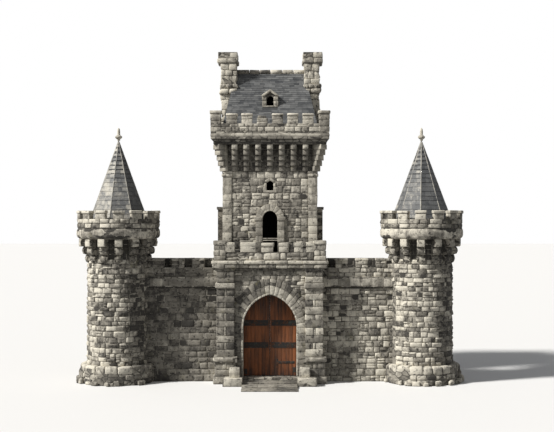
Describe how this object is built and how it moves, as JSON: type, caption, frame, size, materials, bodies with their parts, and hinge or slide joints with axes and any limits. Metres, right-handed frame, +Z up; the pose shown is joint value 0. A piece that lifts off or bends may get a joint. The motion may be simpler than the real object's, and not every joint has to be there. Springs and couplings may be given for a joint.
{
  "type": "gatehouse",
  "caption": "Stone gatehouse: a gate block with a machicolated tower, battlemented curtain walls, round turrets with slate spires, and a pair of hinged plank leaves.",
  "frame": {"origin": "on the ground, in the middle of the gate block", "axes": "+Z up, the gate front faces -Y, +X to the right seen from the front"},
  "size_m": [21.98, 13.9, 19.11],
  "materials": {
    "rubble_stone": "weathered coursed rubble, matt",
    "dressed_stone": "weathered dressed stone, matt",
    "slate": "riven slate, slight sheen",
    "oak_boards": "reddish weathered boards",
    "floor_boards": "plain boards",
    "black_iron": "blackened wrought iron with a little rust"
  },
  "bodies": {
    "masonry": {"gate_side_walls": "rubble_stone", "gate_jambs": "rubble_stone", "front_gate_head": "rubble_stone", "rear_gate_head": "rubble_stone", "front_gate_arch": "dressed_stone", "rear_gate_arch": "dressed_stone", "gate_buttresses": "dressed_stone", "gate_cornice": "dressed_stone", "terrace_floor": "rubble_stone", "front_battlement": "dressed_stone", "rear_battlement": "dressed_stone", "passage_floor": "dressed_stone", "gate_steps": "dressed_stone", "step_cheeks": "dressed_stone", "gate_pintles": "black_iron", "left_curtain_wall": "rubble_stone", "right_curtain_wall": "rubble_stone", "left_curtain_battlement": "dressed_stone", "right_curtain_battlement": "dressed_stone", "left_turret_shaft": "rubble_stone", "right_turret_shaft": "rubble_stone", "turret_plinths": "rubble_stone", "turret_corbels": "dressed_stone", "left_turret_crown": "dressed_stone", "right_turret_crown": "dressed_stone", "turret_decks": "rubble_stone", "turret_spires": "slate", "turret_finials": "dressed_stone", "tower_front_wall": "rubble_stone", "tower_back_wall": "rubble_stone", "tower_side_walls": "rubble_stone", "tower_quoins": "dressed_stone", "opening_surrounds": "dressed_stone", "tower_corbels": "dressed_stone", "parapet_moulding": "dressed_stone", "tower_parapet": "dressed_stone", "tower_merlons": "dressed_stone", "upper_floor": "floor_boards", "rear_boards": "oak_boards", "roof_walk": "rubble_stone", "main_roof": "slate", "ridge_stones": "dressed_stone", "chimneys": "rubble_stone", "dormers": "dressed_stone"},
    "left_gate_leaf": {"left_leaf": "oak_boards", "left_leaf_straps": "black_iron"},
    "right_gate_leaf": {"right_leaf": "oak_boards", "right_leaf_straps": "black_iron"}
  },
  "joints": [
    {"name": "left_leaf_hinge", "type": "hinge", "parent": "masonry", "child": "left_gate_leaf", "pos_m": [-1.675, -3.215, 2.06], "axis": [0, 0, 1], "range_deg": [0, 90]},
    {"name": "right_leaf_hinge", "type": "hinge", "parent": "masonry", "child": "right_gate_leaf", "pos_m": [1.675, -3.215, 2.06], "axis": [0, 0, -1], "range_deg": [0, 90]}
  ]
}
